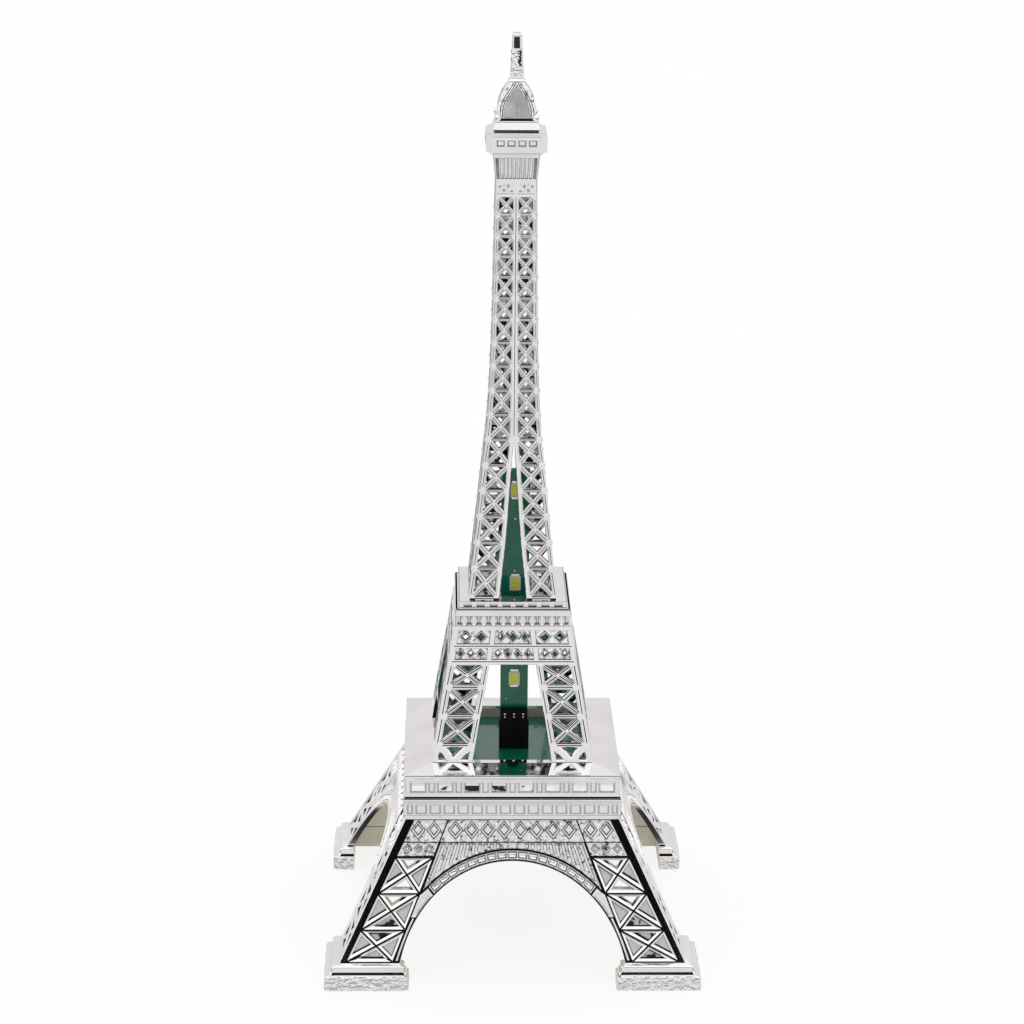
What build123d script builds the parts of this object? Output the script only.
# Miniature lattice tower night lamp: plated plastic shell panels, two decks, a domed
# top, and the light inside it (upright LED strip, base board, battery tray, switch).
# Frame: origin at the centre of the footprint on the table, +Z up, front faces -Y.
from build123d import *
import math
import os

os.makedirs("parts", exist_ok=True)

# ------------------------------------------------------------------ shared dimensions (mm)
TOWER_H = 249.7         # tip of the mast
GAP = 0.03              # glue line between moulded pieces
SIDES = ("front", "right", "back", "left")
CORNERS = ("front_right", "back_right", "back_left", "front_left")

# Stage outlines: (height, full width across opposite faces)
BASE_W = [(6.33, 93.3), (40.77, 58.1)]
MID_W = [(54.43, 44.1), (74.2, 37.6), (81.8, 34.9), (91.1, 32.3)]
SHAFT_W = [
    (98.18, 24.0), (106.3, 22.1), (113.4, 20.7), (120.6, 19.2), (127.7, 17.9),
    (134.6, 16.5), (141.6, 15.0), (148.3, 14.0), (155.0, 13.3), (168.0, 12.35),
    (180.1, 11.8), (196.75, 11.3), (211.9, 11.0),
]
CAP_Z = 218.75          # top of the flared head of the shaft
SHAFT_CAP_W = SHAFT_W + [(CAP_Z, 12.4)]

BOARD_SIDE, BOARD_T, BOARD_TOP = 40.0, 1.6, 51.0
BOARD_Z0 = BOARD_TOP - BOARD_T
PEG_PITCH = 34.4        # heat-staked pegs that hold the base board

TRAY_X, TRAY_Y, TRAY_Z0, TRAY_Z1 = 52.0, 34.8, 36.2, 48.2
EAR_X, EAR_Y, EAR_T = 12.0, 23.6, 1.6     # screw places, plus and minus, and ear thickness
LEAD_YS = (5.4, 8.6)    # red lead, black lead
LEAD_Z = 42.5           # where the leads leave the tray


# ------------------------------------------------------------------ outline helpers
def lerp(z, table):
    """Value at height z in a (height, value) table, held constant past the ends."""
    if z <= table[0][0]:
        return table[0][1]
    for (z0, a), (z1, b) in zip(table, table[1:]):
        if z <= z1:
            return a + (b - a) * (z - z0) / (z1 - z0)
    return table[-1][1]


def inset(points, distances):
    """Move each edge of a counter-clockwise polygon inwards by its own distance."""
    lines = []
    for (x0, y0), (x1, y1), distance in zip(points, points[1:] + points[:1], distances):
        dx, dy = x1 - x0, y1 - y0
        length = math.hypot(dx, dy)
        lines.append((x0 - dy / length * distance, y0 + dx / length * distance, dx, dy))
    corners = []
    for i, (x1, y1, dx1, dy1) in enumerate(lines):
        x0, y0, dx0, dy0 = lines[i - 1]
        det = dx0 * dy1 - dy0 * dx1
        t = ((x1 - x0) * dy1 - (y1 - y0) * dx1) / det
        corners.append((x0 + dx0 * t, y0 + dy0 * t))
    return corners


def diagonals_meet(corners):
    """Point where the diagonals of a quadrilateral cross."""
    (x0, y0), (x2, y2), (x1, y1), (x3, y3) = corners
    det = (x1 - x0) * (y3 - y2) - (y1 - y0) * (x3 - x2)
    t = ((x2 - x0) * (y3 - y2) - (y2 - y0) * (x3 - x2)) / det
    return (x0 + (x1 - x0) * t, y0 + (y1 - y0) * t)


def bay_windows(inner, outer, z0, z1, bar):
    """Four triangular windows of one cross-braced bay; inner and outer give x at a height."""
    corners = [(inner(z0), z0), (outer(z0), z0), (outer(z1), z1), (inner(z1), z1)]
    middle = diagonals_meet(corners)
    return [inset([start, end, middle], [0, bar, bar])
            for start, end in zip(corners, corners[1:] + corners[:1])]


def edge_rails(table, outer):
    """Raised strips from the outer lattice line to the right-hand edge of the panel."""
    return [[(outer(z0), z0), (w0 / 2, z0), (w1 / 2, z1), (outer(z1), z1)]
            for (z0, w0), (z1, w1) in zip(table, table[1:])]


def inner_rail(inner, width, z0, z1):
    return [(inner(z0) - width, z0), (inner(z0), z0), (inner(z1), z1), (inner(z1) - width, z1)]


def crossbar(inner, outer, z, half_height):
    """Level bar between two lattice lines, run a little into each rail."""
    left, right = inner(z) - 0.05, outer(z) + 0.05
    low, high = z - half_height, z + half_height
    return [(left, low), (right, low), (right, high), (left, high)]


def band(table, z0, z1):
    """Level line across the whole width of a panel."""
    low, high = lerp(z0, table) / 2, lerp(z1, table) / 2
    return [(-low, z0), (low, z0), (high, z1), (-high, z1)]


def lozenge(x, z, half_width, half_height):
    return [(x - half_width, z), (x, z - half_height), (x + half_width, z), (x, z + half_height)]


def closed_outline(right_edge):
    """Polygon from its right edge, listed upwards, and the mirror image of that edge."""
    return [(-x, z) for x, z in reversed(right_edge)] + right_edge


def silhouette(table):
    return closed_outline([(width / 2, z) for z, width in table])


def mirrored(polygons):
    """The polygons and their left-hand copies."""
    return polygons + [[(-x, z) for x, z in reversed(p)] for p in polygons]


def faces(polygons):
    return [Polygon(*p, align=Align.NONE, mode=Mode.PRIVATE) for p in polygons]


def drawing(polygons, holes=()):
    with BuildSketch() as plan:
        add(faces(polygons))
        if holes:
            add(faces(holes), mode=Mode.SUBTRACT)
    return plan.sketch


# ------------------------------------------------------------------ panel helpers
CUT_DEPTH = 60          # reaches past every panel sideways and front to back
CUT_HEIGHT = 240        # reaches past every panel upwards
MITRE = [(0, -GAP), (-80, -80 - GAP), (80, -80 - GAP)]     # the front quarter, in plan


def layer(elevation, table, recess, thickness):
    """Front-view drawing cut to the sloping skin between two depths behind its face."""
    skin_face = [(-width / 2 + recess, z) for z, width in table]
    skin_back = [(-width / 2 + thickness, z) for z, width in reversed(table)]
    with BuildPart() as sheet:
        with BuildSketch(Plane.XZ):
            add(elevation)
        extrude(amount=CUT_DEPTH)
        with BuildSketch(Plane.YZ):
            add(faces([skin_face + skin_back]))
        extrude(amount=CUT_DEPTH, both=True, mode=Mode.INTERSECT)
    return sheet.part


def front_panel(*layers):
    """Layers joined into one panel, mitred at 45 degrees on both sides."""
    with BuildPart() as panel:
        for sheet in layers:
            add(sheet)
        with BuildSketch(Plane.XY):
            add(faces([MITRE]))
        extrude(amount=CUT_HEIGHT, mode=Mode.INTERSECT)
    return panel.part


def four_turns(name, places, part):
    """Copies a quarter turn apart, counter-clockwise from above, by piece name."""
    pieces = {}
    for k, place in enumerate(places):
        with BuildPart() as turned:
            add(part.rotate(Axis.Z, 90 * k))
        pieces[f"{name}_{place}"] = turned.part
    return pieces


def side_plane(k, reach):
    """Upright plane facing outwards at a distance from the axis; k follows SIDES."""
    sine, cosine = math.sin(k * math.pi / 2), math.cos(k * math.pi / 2)
    return Plane(origin=(sine * reach, -cosine * reach, 0),
                 x_dir=(cosine, sine, 0), z_dir=(sine, -cosine, 0))


# ------------------------------------------------------------------ base panels
BASE_T, BASE_RECESS = 1.7, 0.45
BASE_BLIND_RECESS = 1.15                  # floor of the blind windows
BASE_BAYS = [6.33, 14.1, 22.8, 31.5]      # crossbar heights
BASE_RAIL, BASE_BAR = 0.9, 0.75
BASE_LINE_Z = 5.8                         # height the lattice lines are measured from
ARCH_R, ARCH_RING, ARCH_Z, ARCH_LINE = 31.0, 3.0, -0.45, 0.6
FRIEZE_Z, FRIEZE_LINE_Z, FRIEZE_PITCH = 37.8, 35.3, 4.1


def base_inner(z):
    return 32.7 - 0.4393 * (z - BASE_LINE_Z)


def base_outer(z):
    return 45.1 - 0.532 * (z - BASE_LINE_Z)


def base_rails():
    """Raised rails, crossbars, frieze lines and lozenge bosses."""
    z0, z1 = BASE_W[0][0], BASE_W[-1][0]
    rails = edge_rails(BASE_W, base_outer)
    rails.append(inner_rail(base_inner, BASE_RAIL, z0, FRIEZE_LINE_Z))
    rails.append(inner_rail(base_inner, BASE_RAIL, FRIEZE_LINE_Z, z1))
    rails += [crossbar(base_inner, base_outer, z, 0.4) for z in BASE_BAYS[1:]]
    rails = mirrored(rails)
    rails += [band(BASE_W, 34.9, 35.5), band(BASE_W, 40.1, z1)]
    rails += [lozenge(i * FRIEZE_PITCH, FRIEZE_Z, 1.55, 1.9) for i in range(-6, 7)]
    return rails


def make_base_panel():
    bottom = BASE_W[0][0]
    windows = []
    for low, high in zip(BASE_BAYS, BASE_BAYS[1:]):
        margin = 0.5 if low == BASE_BAYS[0] else 0.45
        windows += bay_windows(base_inner, base_outer, low + margin, high - 0.45, BASE_BAR)
    # the two lower bays are blind recesses, the top bay is pierced
    blind = drawing(mirrored(windows[:8]))
    plain = drawing([silhouette(BASE_W)], mirrored(windows))
    with BuildSketch() as ground:
        add(plain)
        with Locations((0, ARCH_Z)):
            Circle(ARCH_R, mode=Mode.SUBTRACT)
    # two thin arch lines with a plain ring between them, cut off at the panel's foot
    with BuildSketch() as relief:
        add(faces(base_rails()))
        with Locations((0, ARCH_Z)):
            Circle(ARCH_R + ARCH_RING)
            Circle(ARCH_R + ARCH_RING - ARCH_LINE, mode=Mode.SUBTRACT)
            Circle(ARCH_R + ARCH_LINE)
            Circle(ARCH_R, mode=Mode.SUBTRACT)
        add(faces([[(-80, -60), (80, -60), (80, bottom), (-80, bottom)]]), mode=Mode.SUBTRACT)
    return front_panel(
        layer(ground.sketch, BASE_W, BASE_RECESS, BASE_T),
        layer(relief.sketch, BASE_W, 0.0, BASE_T),
        layer(blind, BASE_W, BASE_BLIND_RECESS, BASE_T),
    )


# ------------------------------------------------------------------ middle stage panels
MID_T, MID_RECESS = 1.4, 0.35
MID_BAYS = [54.43, 59.0, 66.9, 74.9, 81.4]
MID_RAIL, MID_EDGE_RAIL, MID_BAR = 1.3, 1.6, 0.5
MID_CLEAR = 0.35        # bay edge to window
GATE_TOP = 81.0         # head of the tall central opening
SMALL_ROW_Z, LARGE_ROW_Z = 84.1, 88.8     # diamond holes under the second deck
LEG_X = 12.0


def mid_inner(z):
    return 12.1 - 0.168 * (z - 54.2)


def mid_outer(z):
    return lerp(z, MID_W) / 2 - MID_EDGE_RAIL


def mid_low_windows():
    """Three triangles of the lowest bay, which the deck cuts at half height."""
    low, high = MID_BAYS[0] + 0.5, MID_BAYS[1] - MID_CLEAR
    left, right = mid_inner(low), mid_outer(low)
    middle = (left + right) / 2
    return [
        [(middle - 2.6, high), (middle, low + 0.3), (middle + 2.6, high)],
        [(left, low), (middle - 1.2, low), (left, high - 1.0)],
        [(middle + 1.2, low), (right, low), (right - 0.6, high - 1.0)],
    ]


def make_mid_panel():
    bottom, top = MID_W[0][0], MID_W[-1][0]
    windows = []
    for low, high in zip(MID_BAYS[1:], MID_BAYS[2:]):
        windows += bay_windows(mid_inner, mid_outer, low + MID_CLEAR, high - MID_CLEAR, MID_BAR)
    windows += mid_low_windows()
    windows += [lozenge(LEG_X + shift, SMALL_ROW_Z, 0.9, 1.0) for shift in (-1.6, 1.6)]
    holes = mirrored(windows)
    for x in (-3.9, 0.0, 3.9):
        holes += [lozenge(x, SMALL_ROW_Z, 1.1, 1.2), lozenge(x, LARGE_ROW_Z, 1.5, 1.7)]
    holes.append(closed_outline([(mid_inner(bottom) - MID_RAIL, bottom - 1),
                                 (mid_inner(GATE_TOP) - MID_RAIL, GATE_TOP)]))

    rails = edge_rails(MID_W, mid_outer)
    rails.append(inner_rail(mid_inner, MID_RAIL, bottom, top))
    rails += [crossbar(mid_inner, mid_outer, z, 0.3) for z in MID_BAYS[1:-1]]
    rails = mirrored(rails)
    rails += [band(MID_W, z0, z1) for z0, z1 in ((81.2, 82.3), (85.7, 86.5), (90.6, top))]
    return front_panel(
        layer(drawing([silhouette(MID_W)], holes), MID_W, MID_RECESS, MID_T),
        layer(drawing(rails), MID_W, 0.0, MID_T),
    )


# ------------------------------------------------------------------ upper shaft panels
SHAFT_T, SHAFT_RECESS = 1.2, 0.3
SHAFT_BAYS = [
    98.18, 106.3, 113.4, 120.6, 127.7, 134.6, 141.6, 148.3, 155.0,
    161.6, 168.0, 174.3, 180.1, 185.8, 191.3, 196.75, 202.5, 207.6,
]
# Tapering central slot: (height, half width)
SLOT = [(98.18, 3.7), (113.4, 2.1), (120.6, 1.55), (127.7, 1.1), (134.6, 0.6),
        (140.5, 0.12), (141.6, 0.0)]
SHAFT_EDGE_RAIL, SHAFT_BAR, SHAFT_CLEAR = 0.95, 0.36, 0.3
RIBS, RIB_HALF_W = 7, 0.35                # upright ribs of the flared head
RIB_SPAN_LOW, RIB_SPAN_HIGH = 10.0, 11.2  # first rib to last, at foot and top


def shaft_inner(z):
    """Slot edge plus a 0.9 bar, which thins by 0.35 over the 40 mm above the slot."""
    thinning = min(1, max(0, (z - SLOT[-1][0]) / 40))
    return lerp(z, SLOT) + 0.9 - 0.35 * thinning


def shaft_outer(z):
    return lerp(z, SHAFT_W) / 2 - SHAFT_EDGE_RAIL


def make_shaft_panel():
    windows = []
    for low, high in zip(SHAFT_BAYS, SHAFT_BAYS[1:]):
        windows += bay_windows(shaft_inner, shaft_outer, low + SHAFT_CLEAR, high - SHAFT_CLEAR,
                               SHAFT_BAR)
    slot = closed_outline([(3.75, 97.5)] + [(half, z) for z, half in SLOT[:-1]])
    holes = mirrored(windows) + [slot]

    rails = mirrored(edge_rails(SHAFT_W, shaft_outer))
    for z0, z1 in ((207.3, 207.9), (211.4, 212.0), (217.9, CAP_Z)):
        rails.append(band(SHAFT_CAP_W, z0, z1))
    foot_z = SHAFT_W[-1][0]
    for i in range(RIBS):
        share = i / (RIBS - 1) - 0.5
        low, high = share * RIB_SPAN_LOW, share * RIB_SPAN_HIGH
        rails.append([(low - RIB_HALF_W, foot_z), (low + RIB_HALF_W, foot_z),
                      (high + RIB_HALF_W, CAP_Z), (high - RIB_HALF_W, CAP_Z)])
    return front_panel(
        layer(drawing([silhouette(SHAFT_CAP_W)], holes), SHAFT_CAP_W, SHAFT_RECESS, SHAFT_T),
        layer(drawing(rails), SHAFT_CAP_W, 0.0, SHAFT_T),
    )


# ------------------------------------------------------------------ feet
FOOT_W = 101.6                            # across the outer faces of the feet
FOOT_SIDE, FOOT_LOW, FOOT_TOP = 22.95, 3.9, 6.3
CAP_INNER, CAP_OUTER = 28.85, 48.95       # reach of the plinth cap from the tower's axis
FOOT_SKIN, FOOT_CUT = 44.7, 24.0          # inner face of the L-shaped shell, and its cutter


def make_foot():
    """Front right foot: L-shaped plinth, open on the two inner sides."""
    foot_centre = FOOT_W / 2 - FOOT_SIDE / 2
    cap_centre = (CAP_INNER + CAP_OUTER) / 2
    cut_centre = FOOT_SKIN - FOOT_CUT / 2
    with BuildPart() as foot:
        with BuildSketch(Plane.XY):
            with Locations((foot_centre, -foot_centre)):
                RectangleRounded(FOOT_SIDE, FOOT_SIDE, 1.0)
        extrude(amount=FOOT_LOW)
        with BuildSketch(Plane.XY.offset(FOOT_LOW)):
            with Locations((cap_centre, -cap_centre)):
                Rectangle(CAP_OUTER - CAP_INNER, CAP_OUTER - CAP_INNER)
        extrude(amount=FOOT_TOP - FOOT_LOW)
        with BuildSketch(Plane.XY):
            with Locations((cut_centre, -cut_centre)):
                Rectangle(FOOT_CUT, FOOT_CUT)
        extrude(amount=FOOT_TOP, mode=Mode.SUBTRACT)
    return foot.part


# ------------------------------------------------------------------ first deck
DECK1_LOW_W, DECK1_W, DECK1_TOP_W = 58.8, 57.6, 44.8
DECK1_Z0, DECK1_EDGE, DECK1_TOP = 40.8, 53.4, 54.4
DECK1_HOLE = 40.4
WELL_Z0 = 48.4          # underside of the board well and of the pads
# Square layers: (bottom, top, width)
DECK1_LAYERS = [
    (DECK1_Z0, 46.8, DECK1_LOW_W),
    (46.8, 47.5, 56.6),
    (47.5, DECK1_EDGE, DECK1_W),
]
# Hollow underside, then the well for the base board: (bottom, height, width, mode)
DECK1_WELL = [
    (DECK1_Z0, 51.9 - DECK1_Z0, 54.4, Mode.SUBTRACT),
    (WELL_Z0, 4.0, DECK1_HOLE + 2.4, Mode.ADD),
    (BOARD_Z0, 10, DECK1_HOLE, Mode.SUBTRACT),
    (48.0, 10, 36.4, Mode.SUBTRACT),
]
# Heat-staked pegs: (bottom, height, radius) of shank and head
PEG_STEPS = [(BOARD_Z0, BOARD_T + 0.5, 0.95), (BOARD_TOP + GAP, 0.55, 1.5)]
# Bosses for the tray screws: (bottom, height, radius, mode) of boss and bore
BOSS_STEPS = [
    (TRAY_Z1 + GAP, 52.2 - TRAY_Z1, 2.1, Mode.ADD),
    (TRAY_Z1, 3.6, 0.82, Mode.SUBTRACT),
]
FASCIA_SUNK = 0.45
UPPER_PANEL_PITCH = 7.4


def make_first_floor_deck():
    with BuildPart() as deck:
        for z0, z1, width in DECK1_LAYERS:
            with BuildSketch(Plane.XY.offset(z0)):
                Rectangle(width, width)
            extrude(amount=z1 - z0)
        for z, width in ((DECK1_EDGE, DECK1_W), (DECK1_TOP, DECK1_TOP_W)):
            with BuildSketch(Plane.XY.offset(z)):
                Rectangle(width, width)
        loft()
        for z0, height, width, mode in DECK1_WELL:
            with BuildSketch(Plane.XY.offset(z0)):
                Rectangle(width, width)
            extrude(amount=height, mode=mode)
        # corner pads and pegs for the board
        with BuildSketch(Plane.XY.offset(WELL_Z0)):
            with GridLocations(35.0, 35.0, 2, 2):
                Rectangle(4.6, 4.6)
        extrude(amount=BOARD_Z0 - WELL_Z0)
        for z0, height, radius in PEG_STEPS:
            with BuildSketch(Plane.XY.offset(z0)):
                with GridLocations(PEG_PITCH, PEG_PITCH, 2, 2):
                    Circle(radius)
            extrude(amount=height)
        for z0, height, radius, mode in BOSS_STEPS:
            with BuildSketch(Plane.XY.offset(z0)):
                with GridLocations(2 * EAR_X, 2 * EAR_Y, 2, 2):
                    Circle(radius)
            extrude(amount=height, mode=mode)
        # notch that lets the battery leads reach the board
        with BuildSketch(Plane.XY.offset(48.0)):
            with Locations((20.0, sum(LEAD_YS) / 2)):
                Rectangle(5.0, 8.0)
        extrude(amount=BOARD_Z0 - 48.0, mode=Mode.SUBTRACT)
        # sunk panels of the two fascia rows
        for k in range(4):
            with BuildSketch(side_plane(k, DECK1_LOW_W / 2)):
                with Locations((0, 43.75)):
                    with GridLocations(3.8, 1, 14, 1):
                        Rectangle(3.0, 2.7)
            extrude(amount=-FASCIA_SUNK, mode=Mode.SUBTRACT)
            with BuildSketch(side_plane(k, DECK1_W / 2)):
                with Locations((0, 49.9)):
                    with GridLocations(UPPER_PANEL_PITCH, 1, 8, 1):
                        Rectangle(4.3, 3.2)
                    with GridLocations(UPPER_PANEL_PITCH, 1, 7, 1):
                        Rectangle(1.8, 3.2)
            extrude(amount=-FASCIA_SUNK, mode=Mode.SUBTRACT)
    return deck.part


# ------------------------------------------------------------------ second deck
DECK2_Z0 = MID_W[-1][0] + GAP
DECK2_TOP_W = 28.95
DECK2_HOLE = 20.0
DECK2_CUT_Z0 = 91.0     # the cuts start just below the deck


def make_second_floor_deck():
    with BuildPart() as deck:
        for z0, height, width in ((DECK2_Z0, 0.6, 32.2), (91.7, 3.0, 29.4)):
            with BuildSketch(Plane.XY.offset(z0)):
                Rectangle(width, width)
            extrude(amount=height)
        # flange, and the step above it
        with BuildSketch(Plane.XY.offset(94.5)):
            RectangleRounded(31.15, 31.15, 0.7)
        extrude(amount=1.7)
        with BuildSketch(Plane.XY.offset(96.2)):
            Rectangle(DECK2_TOP_W, DECK2_TOP_W)
        extrude(amount=1.95)
        # brackets under the flange, sunk panels above it
        for k in range(4):
            with BuildSketch(side_plane(k, 14.6)):
                with Locations((0, 93.1)):
                    with GridLocations(2.63, 1, 11, 1):
                        Rectangle(0.8, 2.85)
            extrude(amount=0.75)
            with BuildSketch(side_plane(k, DECK2_TOP_W / 2)):
                with Locations((0, 97.0)):
                    with GridLocations(3.5, 1, 8, 1):
                        Rectangle(2.3, 0.9)
            extrude(amount=-0.4, mode=Mode.SUBTRACT)
        for width, height in ((26.6, 5.9), (DECK2_HOLE, 10)):
            with BuildSketch(Plane.XY.offset(DECK2_CUT_Z0)):
                Rectangle(width, width)
            extrude(amount=height, mode=Mode.SUBTRACT)
    return deck.part


# ------------------------------------------------------------------ top platform, cabin, dome, mast
PLATFORM_TOP = 224.5
PLATFORM_W, PLATFORM_LONG, PLATFORM_SHORT = 13.7, 15.7, 12.6   # block, arms of the cross
DOME_TOP = 237.1
# Right-hand edge of the dome: (half width, height)
DOME_PROFILE = [
    (5.1, 227.06), (5.1, 227.9), (4.95, 229.3), (4.7, 230.9), (4.3, 232.4),
    (3.75, 233.9), (3.1, 235.3), (2.35, 236.4), (1.85, DOME_TOP),
]
DOME_BALL_XY, DOME_BALL_Z, DOME_BALL_R = 5.0, 228.25, 0.95
MAST_Z0 = DOME_TOP + GAP
MAST_FOOT_W, MAST_TIP_W = 3.5, 2.0


def make_top_platform():
    with BuildPart() as platform:
        with BuildSketch(Plane.XY.offset(CAP_Z + GAP)):
            Rectangle(PLATFORM_W, PLATFORM_W)
        extrude(amount=PLATFORM_TOP - CAP_Z - GAP)
        with BuildSketch(Plane.XY.offset(219.3)):
            Rectangle(PLATFORM_LONG, PLATFORM_SHORT)
            Rectangle(PLATFORM_SHORT, PLATFORM_LONG)
        extrude(amount=5.0)
        with BuildSketch(Plane.XY.offset(CAP_Z)):
            Rectangle(9.6, 9.6)
        extrude(amount=4.6, mode=Mode.SUBTRACT)
        for k in range(4):
            with BuildSketch(side_plane(k, PLATFORM_LONG / 2)):
                with Locations((0, 222.3)):
                    with GridLocations(2.8, 1, 4, 1):
                        Rectangle(1.9, 1.7)
            extrude(amount=-0.5, mode=Mode.SUBTRACT)
    return platform.part


def make_top_cabin():
    # (bottom, height, width, mode): foot, body, hollow
    steps = [
        (PLATFORM_TOP + GAP, 0.4, 9.8, Mode.ADD),
        (224.9, 2.12, 11.0, Mode.ADD),
        (PLATFORM_TOP, 1.4, 7.6, Mode.SUBTRACT),
    ]
    with BuildPart() as cabin:
        for z0, height, width, mode in steps:
            with BuildSketch(Plane.XY.offset(z0)):
                Rectangle(width, width)
            extrude(amount=height, mode=mode)
    return cabin.part


def make_dome():
    """Square dome: one profile crossed with itself, with a ball at each lower corner."""
    outline = closed_outline(DOME_PROFILE)
    with BuildPart() as dome:
        with BuildSketch(Plane.XZ):
            add(faces([outline]))
        extrude(amount=8, both=True)
        with BuildSketch(Plane.YZ):
            add(faces([outline]))
        extrude(amount=8, both=True, mode=Mode.INTERSECT)
        # tapered cavity, then the bore for the mast's tenon
        with BuildSketch(Plane.XY.offset(227.0)):
            Rectangle(7.4, 7.4)
        extrude(amount=4.5, taper=14, mode=Mode.SUBTRACT)
        with BuildSketch(Plane.XY.offset(232)):
            Circle(0.86)
        extrude(amount=8, mode=Mode.SUBTRACT)
        with Locations(*[(sx * DOME_BALL_XY, sy * DOME_BALL_XY, DOME_BALL_Z)
                         for sx in (-1, 1) for sy in (-1, 1)]):
            Sphere(DOME_BALL_R)
    return dome.part


def make_spire_mast():
    with BuildPart() as mast:
        for z, width in ((MAST_Z0, MAST_FOOT_W), (TOWER_H, MAST_TIP_W)):
            with BuildSketch(Plane.XY.offset(z)):
                Rectangle(width, width)
        loft()
        # tenon into the dome
        with BuildSketch(Plane.XY.offset(MAST_Z0)):
            Circle(0.8)
        extrude(amount=-2.6)
        # collars: (bottom, width, height)
        for z, width, height in ((240.2, 3.5, 0.7), (244.6, 3.0, 0.6)):
            with BuildSketch(Plane.XY.offset(z)):
                Rectangle(width, width)
            extrude(amount=height)
    return mast.part


# ------------------------------------------------------------------ upright LED strip and connector
STRIP_W, STRIP_T, STRIP_Z0, STRIP_Z1 = 7.6, 1.2, 59.6, 131.5
STRIP_X = 0.85          # the strip stands a little right of centre; its back is at y = 0
LED_ZS = (71.1, 98.9, 125.6)
LED_W, LED_H, LED_T = 3.0, 5.3, 0.85
STRIP_RESISTOR_ZS = (65.6, 79.5, 91.0, 104.5, 118.4)
RESISTOR_W, RESISTOR_L, RESISTOR_T = 1.25, 2.0, 0.5
PIN_PITCH, PIN_W = 2.54, 0.6
PIN_Y, PIN_Z = -2.5, 60.9                 # upright legs, level legs
PIN_HOLE_W = 0.68
PRONG_ZS, PRONG_W, PRONG_HOLE_W = (60.45, 61.3), 0.42, 0.5   # small pairs in front of the legs
HEADER_Y = -2.52        # centre of the header body and of the socket
SOCKET_Z0, SOCKET_TOP = BOARD_TOP + 0.02, 59.52


def make_led_strip_board():
    with BuildPart() as board:
        with BuildSketch(Plane.XZ):
            with Locations((STRIP_X, (STRIP_Z0 + STRIP_Z1) / 2)):
                Rectangle(STRIP_W, STRIP_Z1 - STRIP_Z0)
        extrude(amount=STRIP_T)
        with BuildSketch(Plane.XZ):
            with Locations((STRIP_X, PIN_Z)):
                with GridLocations(PIN_PITCH, 1, 3, 1):
                    Rectangle(0.72, 0.72)
        extrude(amount=STRIP_T, mode=Mode.SUBTRACT)
    return board.part


def make_strip_leds():
    """LEDs on the front and back of the strip."""
    with BuildPart() as leds:
        for offset, amount in ((STRIP_T, LED_T), (0, -LED_T)):
            with BuildSketch(Plane.XZ.offset(offset)):
                with Locations(*[(STRIP_X, z) for z in LED_ZS]):
                    Rectangle(LED_W, LED_H)
            extrude(amount=amount)
    return leds.part


def make_strip_resistors():
    """Resistors on the back of the strip."""
    with BuildPart() as resistors:
        with BuildSketch(Plane.XZ):
            with Locations(*[(STRIP_X + 0.8, z) for z in STRIP_RESISTOR_ZS]):
                Rectangle(RESISTOR_W, RESISTOR_L)
        extrude(amount=-RESISTOR_T)
    return resistors.part


def make_strip_header_body():
    with BuildPart() as body:
        with BuildSketch(Plane.XY.offset(59.56)):
            with Locations((STRIP_X, HEADER_Y)):
                Rectangle(7.4, 2.54)
        extrude(amount=2.85)
        chamfer(body.edges().filter_by(Axis.Z), length=0.3)
        # passages for the upright legs, the level legs and the prongs
        with BuildSketch(Plane.XY.offset(59.5)):
            with Locations((STRIP_X, PIN_Y)):
                with GridLocations(PIN_PITCH, 1, 3, 1):
                    Rectangle(PIN_HOLE_W, PIN_HOLE_W)
        extrude(amount=2.1, mode=Mode.SUBTRACT)
        with BuildSketch(Plane.XZ):
            with Locations((STRIP_X, PIN_Z)):
                with GridLocations(PIN_PITCH, 1, 3, 1):
                    Rectangle(PIN_HOLE_W, PIN_HOLE_W)
        extrude(amount=-PIN_Y, mode=Mode.SUBTRACT)
        with BuildSketch(Plane.XZ.offset(-PIN_Y)):
            for z in PRONG_ZS:
                with Locations((STRIP_X, z)):
                    with GridLocations(PIN_PITCH, 1, 3, 1):
                        Rectangle(PRONG_HOLE_W, PRONG_HOLE_W)
        extrude(amount=2.5, mode=Mode.SUBTRACT)
    return body.part


def make_strip_header_pins():
    with BuildPart() as pins:
        for x in (STRIP_X - PIN_PITCH, STRIP_X, STRIP_X + PIN_PITCH):
            with BuildSketch(Plane.XY.offset(52.4)):
                with Locations((x, PIN_Y)):
                    Rectangle(PIN_W, PIN_W)
            extrude(amount=61.55 - 52.4)
            with BuildSketch(Plane.XZ.offset(-0.7)):
                with Locations((x, PIN_Z)):
                    Rectangle(PIN_W, PIN_W)
            extrude(amount=0.7 - PIN_Y)
            with BuildSketch(Plane.XZ.offset(-PIN_Y)):
                with Locations(*[(x, z) for z in PRONG_ZS]):
                    Rectangle(PRONG_W, PRONG_W)
            extrude(amount=1.4)
    return pins.part


def make_board_socket():
    with BuildPart() as socket:
        with BuildSketch(Plane.XY.offset(SOCKET_Z0)):
            with Locations((STRIP_X, HEADER_Y)):
                Rectangle(8.2, 2.6)
        extrude(amount=SOCKET_TOP - SOCKET_Z0)
        with BuildSketch(Plane.XY.offset(52.2)):
            with Locations((STRIP_X, PIN_Y)):
                with GridLocations(PIN_PITCH, 1, 3, 1):
                    Rectangle(0.7, 0.7)
        extrude(amount=10, mode=Mode.SUBTRACT)
    return socket.part


# ------------------------------------------------------------------ base board
CHIP_AT = (-12.5, 11.5)
CHIP_LEAD_PITCH, CHIP_LEAD_ROWS = 1.27, 5.0


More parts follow.
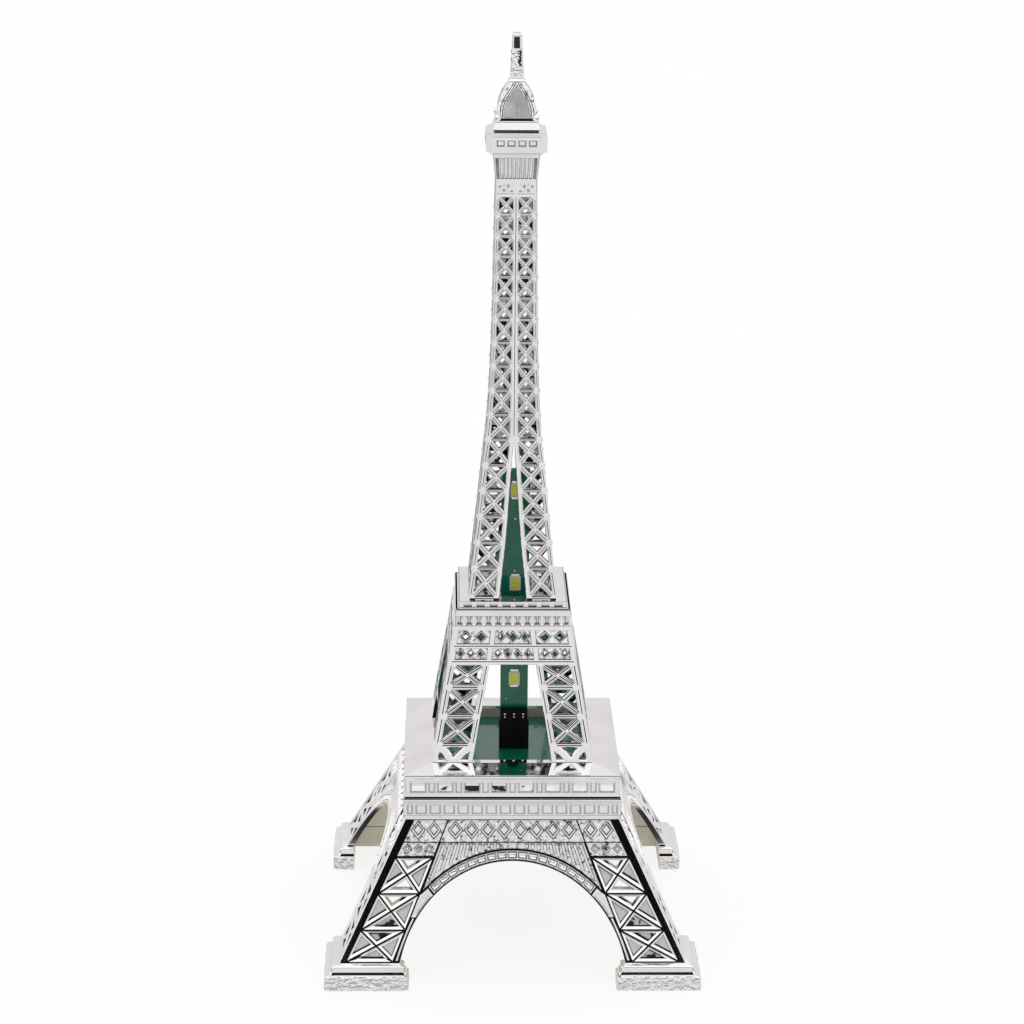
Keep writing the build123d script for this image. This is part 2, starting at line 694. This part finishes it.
def make_base_board():
    with BuildPart() as board:
        with BuildSketch(Plane.XY.offset(BOARD_Z0)):
            RectangleRounded(BOARD_SIDE, BOARD_SIDE, 0.6)
            with GridLocations(PEG_PITCH, PEG_PITCH, 2, 2):
                Circle(1.0, mode=Mode.SUBTRACT)
        extrude(amount=BOARD_T)
    return board.part


def make_controller_chip():
    with BuildPart() as chip:
        with BuildSketch(Plane.XY.offset(BOARD_TOP + 0.15)):
            with Locations(CHIP_AT):
                Rectangle(4.9, 3.9)
        extrude(amount=1.45)
        chamfer(chip.edges().group_by(Axis.Z)[-1], length=0.25)
    return chip.part


def make_chip_leads():
    with BuildPart() as leads:
        with BuildSketch(Plane.XY.offset(BOARD_TOP)):
            with Locations(CHIP_AT):
                with GridLocations(CHIP_LEAD_PITCH, CHIP_LEAD_ROWS, 4, 2):
                    Rectangle(0.4, 1.0)
        extrude(amount=0.14)
    return leads.part


def make_board_capacitor():
    with BuildPart() as capacitor:
        with BuildSketch(Plane.XY.offset(BOARD_TOP + 0.01)):
            with Locations((13.0, 11.5)):
                Circle(2.0)
        extrude(amount=4.4)
        fillet(capacitor.edges().group_by(Axis.Z)[-1], radius=0.35)
    return capacitor.part


def make_board_resistors():
    with BuildPart() as resistors:
        with BuildSketch(Plane.XY.offset(BOARD_TOP)):
            with Locations((-13.6, 6.0), (-11.0, 6.0), (13.0, 6.5)):
                Rectangle(RESISTOR_W, RESISTOR_L)
        extrude(amount=RESISTOR_T)
    return resistors.part


# ------------------------------------------------------------------ battery tray under the first deck
TRAY_WALL, TRAY_ROOF = 1.0, 1.2
TRAY_CUT_Z0 = TRAY_Z0 - 1                 # cuts from below start here
HINGE_Y, HINGE_Z, HINGE_R = 19.2, 35.6, 0.75
KNUCKLE_R = 1.5
LUG_REACH, LUG_L = 22.5, 2.5              # outer end from the centre plane, and length
KNUCKLE_REACH, KNUCKLE_L, HINGE_PIN_L = 19.9, 4.0, 7.0
HINGE_CUT_X, HINGE_CUT_L = -26, 52        # hinge bore, right across the tray
LATCH_X = 6.0
SWITCH_X, SWITCH_Y = -16.0, -20.6
SCREW_HEAD_Z = TRAY_Z1 - EAR_T - 1.35


def left_and_right(reach, length):
    """Start x of a left and a right piece whose outer ends lie at the given reach."""
    return (-reach, reach - length)


def make_battery_tray():
    with BuildPart() as tray:
        with BuildSketch(Plane.XY.offset(TRAY_Z0)):
            RectangleRounded(TRAY_X, TRAY_Y, 1.2)
        extrude(amount=TRAY_Z1 - TRAY_Z0)
        # screw ears
        with BuildSketch(Plane.XY.offset(TRAY_Z1 - EAR_T)):
            with Locations((-EAR_X, 0), (EAR_X, 0)):
                SlotOverall(51.6, 5.6, rotation=90)
        extrude(amount=EAR_T)
        # housing for the slide switch
        with BuildSketch(Plane.XY.offset(TRAY_Z0)):
            with Locations((SWITCH_X, -TRAY_Y / 2 - 2.9)):
                Rectangle(12.0, 6.2)
        extrude(amount=7.0)
        # hinge lugs
        for x in left_and_right(LUG_REACH, LUG_L):
            with BuildSketch(Plane.YZ.offset(x)):
                with Locations((HINGE_Y, HINGE_Z)):
                    Circle(KNUCKLE_R)
                with Locations((HINGE_Y - 0.2, HINGE_Z + 2.2)):
                    Rectangle(2.6, 4.4)
                with Locations((HINGE_Y - 1.3, HINGE_Z + 3.4)):
                    Rectangle(2.6, 2.0)
            extrude(amount=LUG_L)
        with BuildSketch(Plane.YZ.offset(HINGE_CUT_X)):
            with Locations((HINGE_Y, HINGE_Z)):
                Circle(HINGE_R + 0.01)
        extrude(amount=HINGE_CUT_L, mode=Mode.SUBTRACT)
        # cell chamber
        with BuildSketch(Plane.XY.offset(TRAY_CUT_Z0)):
            Rectangle(TRAY_X - 2 * TRAY_WALL, TRAY_Y - 2 * TRAY_WALL)
        extrude(amount=TRAY_Z1 - TRAY_ROOF - TRAY_CUT_Z0, mode=Mode.SUBTRACT)
        # screw holes, then the switch pocket
        with BuildSketch(Plane.XY.offset(TRAY_CUT_Z0)):
            with GridLocations(2 * EAR_X, 2 * EAR_Y, 2, 2):
                Circle(1.1)
        extrude(amount=20, mode=Mode.SUBTRACT)
        with BuildSketch(Plane.XY.offset(TRAY_CUT_Z0)):
            with Locations((SWITCH_X, SWITCH_Y)):
                Rectangle(8.8, 4.1)
        extrude(amount=6.0, mode=Mode.SUBTRACT)
        # catch for the door's latch
        with BuildSketch(Plane.XY.offset(TRAY_Z0 + 1.2)):
            with Locations((LATCH_X, -TRAY_Y / 2)):
                Rectangle(8.4, 4.0)
        extrude(amount=1.3, mode=Mode.SUBTRACT)
        # lead exits through the right end wall
        with BuildSketch(Plane.YZ.offset(20)):
            with Locations(*[(y, LEAD_Z) for y in LEAD_YS]):
                Circle(0.62)
        extrude(amount=8, mode=Mode.SUBTRACT)
    return tray.part


def make_tray_screws():
    with BuildPart() as screws:
        # (bottom, radius, height) of head and shank
        for z0, radius, height in ((SCREW_HEAD_Z, 1.9, 1.3), (TRAY_Z1 - 1.7, 0.78, 5.0)):
            with BuildSketch(Plane.XY.offset(z0)):
                with GridLocations(2 * EAR_X, 2 * EAR_Y, 2, 2):
                    Circle(radius)
            extrude(amount=height)
        # cross recess
        with BuildSketch(Plane.XY.offset(SCREW_HEAD_Z)):
            with GridLocations(2 * EAR_X, 2 * EAR_Y, 2, 2):
                Rectangle(2.0, 0.45)
                Rectangle(0.45, 2.0)
        extrude(amount=0.7, mode=Mode.SUBTRACT)
    return screws.part


# ------------------------------------------------------------------ cells, contacts and leads
CELL_R, CELL_L, CELL_Z = 5.2, 44.3, 41.55
CELL_PITCH, CELL_SHIFT = 10.7, 1.6        # spacing in y; each cell sits off centre in x
# Half section of a cell: (radius, place along its axis), the terminal nub last
CELL_PROFILE = [
    (0, -CELL_L / 2), (CELL_R - 0.4, -CELL_L / 2), (CELL_R, -CELL_L / 2 + 0.4),
    (CELL_R, CELL_L / 2 - 1.4), (CELL_R - 0.5, CELL_L / 2 - 0.8),
    (1.9, CELL_L / 2 - 0.8), (1.9, CELL_L / 2), (0, CELL_L / 2),
]
PLATE_T, PLATE_H, WIDE_PLATE = 0.4, 8.5, 18.7
CHAMBER_END = TRAY_X / 2 - TRAY_WALL
# Contact plates: (left face x, ((centre y, width), ...))
PLATES = [
    (-CHAMBER_END, ((-CELL_PITCH, 8.0), (CELL_PITCH / 2, WIDE_PLATE))),
    (CHAMBER_END - PLATE_T, ((-CELL_PITCH / 2, WIDE_PLATE), (11.2, 7.6))),
]
# Springs: (foot x, y, direction they reach along x)
SPRINGS = [(-24.55, -CELL_PITCH, 1), (24.55, 0.0, -1), (-24.55, CELL_PITCH, 1)]
SPRING_TURNS, SPRING_PITCH, SPRING_WIRE_R = 4, 0.78, 0.28
LEAD_TURN_X, LEAD_TOP_Z = 26.55, 48.8


def make_cell(x, y, nub_right):
    """Can, rim and terminal nub, turned about an axis along x."""
    # the sketch's own y runs towards -X, so the profile as listed has its nub at the left
    profile = [(r, -l) for r, l in reversed(CELL_PROFILE)] if nub_right else CELL_PROFILE
    with BuildPart() as cell:
        with BuildSketch(Plane(origin=(x, y, CELL_Z), x_dir=(0, 1, 0), z_dir=(0, 0, 1))):
            add(faces([profile]))
        revolve(axis=Axis((x, y, CELL_Z), (1, 0, 0)))
    return cell.part


def make_contact_plates():
    with BuildPart() as plates:
        for x, row in PLATES:
            with BuildSketch(Plane.YZ.offset(x)):
                for y, width in row:
                    with Locations((y, CELL_Z)):
                        Rectangle(width, PLATE_H)
            extrude(amount=PLATE_T)
    return plates.part


def make_contact_springs():
    """Shrinking rings, each stack joined by a straight bar."""
    with BuildPart() as springs:
        for x, y, way in SPRINGS:
            for i in range(SPRING_TURNS):
                ring_x = x + way * (0.32 + SPRING_PITCH * i)
                with Locations(Location((ring_x, y, CELL_Z), (0, 90, 0))):
                    Torus(2.9 - 0.16 * i, SPRING_WIRE_R)
            with Locations(Location((x + way * 1.5, y + 2.62, CELL_Z), (0, 90, 0))):
                Cylinder(0.3, 2.5)
    return springs.part


def make_lead(y):
    """Wire out of the tray's right end, up, and back in over the tray."""
    with BuildPart() as lead:
        with BuildLine():
            path = FilletPolyline(
                (25.4, y, LEAD_Z), (LEAD_TURN_X, y, LEAD_Z),
                (LEAD_TURN_X, y, LEAD_TOP_Z), (15.5, y, LEAD_TOP_Z), radius=0.55)
        with BuildSketch(Plane(origin=path @ 0, z_dir=path % 0)):
            Circle(0.5)
        sweep()
    return lead.part


# ------------------------------------------------------------------ battery door and slide switch
DOOR_Z0, DOOR_T = 35.0, 1.12


def make_battery_door():
    with BuildPart() as door:
        with BuildSketch(Plane.XY.offset(DOOR_Z0)):
            with Locations((0, -0.05)):
                RectangleRounded(51.0, 34.5, 1.2)
        extrude(amount=DOOR_T)
        # knuckles
        for x in left_and_right(KNUCKLE_REACH, KNUCKLE_L):
            with BuildSketch(Plane.YZ.offset(x)):
                with Locations((HINGE_Y, HINGE_Z)):
                    Circle(KNUCKLE_R)
                with Locations((HINGE_Y - 1.6, HINGE_Z - 0.05)):
                    Rectangle(3.2, 1.1)
            extrude(amount=KNUCKLE_L)
        with BuildSketch(Plane.YZ.offset(HINGE_CUT_X)):
            with Locations((HINGE_Y, HINGE_Z)):
                Circle(HINGE_R + 0.06)
        extrude(amount=HINGE_CUT_L, mode=Mode.SUBTRACT)
        # finger nib and grip lines
        with BuildSketch(Plane.XY.offset(DOOR_Z0)):
            with Locations((LATCH_X, -17.4)):
                Rectangle(9.0, 1.2)
        extrude(amount=DOOR_T)
        with BuildSketch(Plane.XY.offset(DOOR_Z0)):
            with Locations((LATCH_X, -13.5)):
                with GridLocations(1, 1.5, 1, 4):
                    Rectangle(9.0, 0.6)
        extrude(amount=0.35, mode=Mode.SUBTRACT)
    return door.part


def make_door_hinge_pins():
    with BuildPart() as pins:
        for x in left_and_right(LUG_REACH, HINGE_PIN_L):
            with BuildSketch(Plane.YZ.offset(x)):
                with Locations((HINGE_Y, HINGE_Z)):
                    Circle(HINGE_R)
            extrude(amount=HINGE_PIN_L)
    return pins.part


def make_slide_switch_body():
    with BuildPart() as body:
        with BuildSketch(Plane.XY.offset(TRAY_Z0 + 0.05)):
            with Locations((SWITCH_X, SWITCH_Y)):
                Rectangle(8.7, 4.0)
        extrude(amount=4.7)
        with BuildSketch(Plane.XY.offset(TRAY_Z0)):
            with Locations((SWITCH_X, SWITCH_Y)):
                Rectangle(4.2, 1.7)
        extrude(amount=2.0, mode=Mode.SUBTRACT)
    return body.part


def make_slide_switch_knob():
    with BuildPart() as knob:
        with BuildSketch(Plane.XY.offset(34.2)):
            with Locations((SWITCH_X - 1.0, SWITCH_Y)):
                Rectangle(2.0, 1.5)
        extrude(amount=3.9)
        chamfer(knob.edges().group_by(Axis.Z)[0], length=0.25)
    return knob.part


# ------------------------------------------------------------------ labels and STEP files
PIECES = {
    **four_turns("base_panel", SIDES, make_base_panel()),
    **four_turns("foot", CORNERS, make_foot()),
    "first_floor_deck": make_first_floor_deck(),
    **four_turns("mid_panel", SIDES, make_mid_panel()),
    "second_floor_deck": make_second_floor_deck(),
    **four_turns("shaft_panel", SIDES, make_shaft_panel()),
    "top_platform": make_top_platform(),
    "top_cabin": make_top_cabin(),
    "dome": make_dome(),
    "spire_mast": make_spire_mast(),
    "led_strip_board": make_led_strip_board(),
    "strip_leds": make_strip_leds(),
    "strip_resistors": make_strip_resistors(),
    "strip_header_body": make_strip_header_body(),
    "strip_header_pins": make_strip_header_pins(),
    "board_socket": make_board_socket(),
    "base_board": make_base_board(),
    "controller_chip": make_controller_chip(),
    "chip_leads": make_chip_leads(),
    "board_capacitor": make_board_capacitor(),
    "board_resistors": make_board_resistors(),
    "battery_tray": make_battery_tray(),
    "tray_screws": make_tray_screws(),
    "cell_front": make_cell(CELL_SHIFT, -CELL_PITCH, nub_right=True),
    "cell_middle": make_cell(-CELL_SHIFT, 0, nub_right=False),
    "cell_back": make_cell(CELL_SHIFT, CELL_PITCH, nub_right=True),
    "contact_plates": make_contact_plates(),
    "contact_springs": make_contact_springs(),
    "lead_red": make_lead(LEAD_YS[0]),
    "lead_black": make_lead(LEAD_YS[1]),
    "battery_door": make_battery_door(),
    "door_hinge_pins": make_door_hinge_pins(),
    "slide_switch_body": make_slide_switch_body(),
    "slide_switch_knob": make_slide_switch_knob(),
}
for label, part in PIECES.items():
    part.label = label
    export_step(part, f"parts/{label}.step")
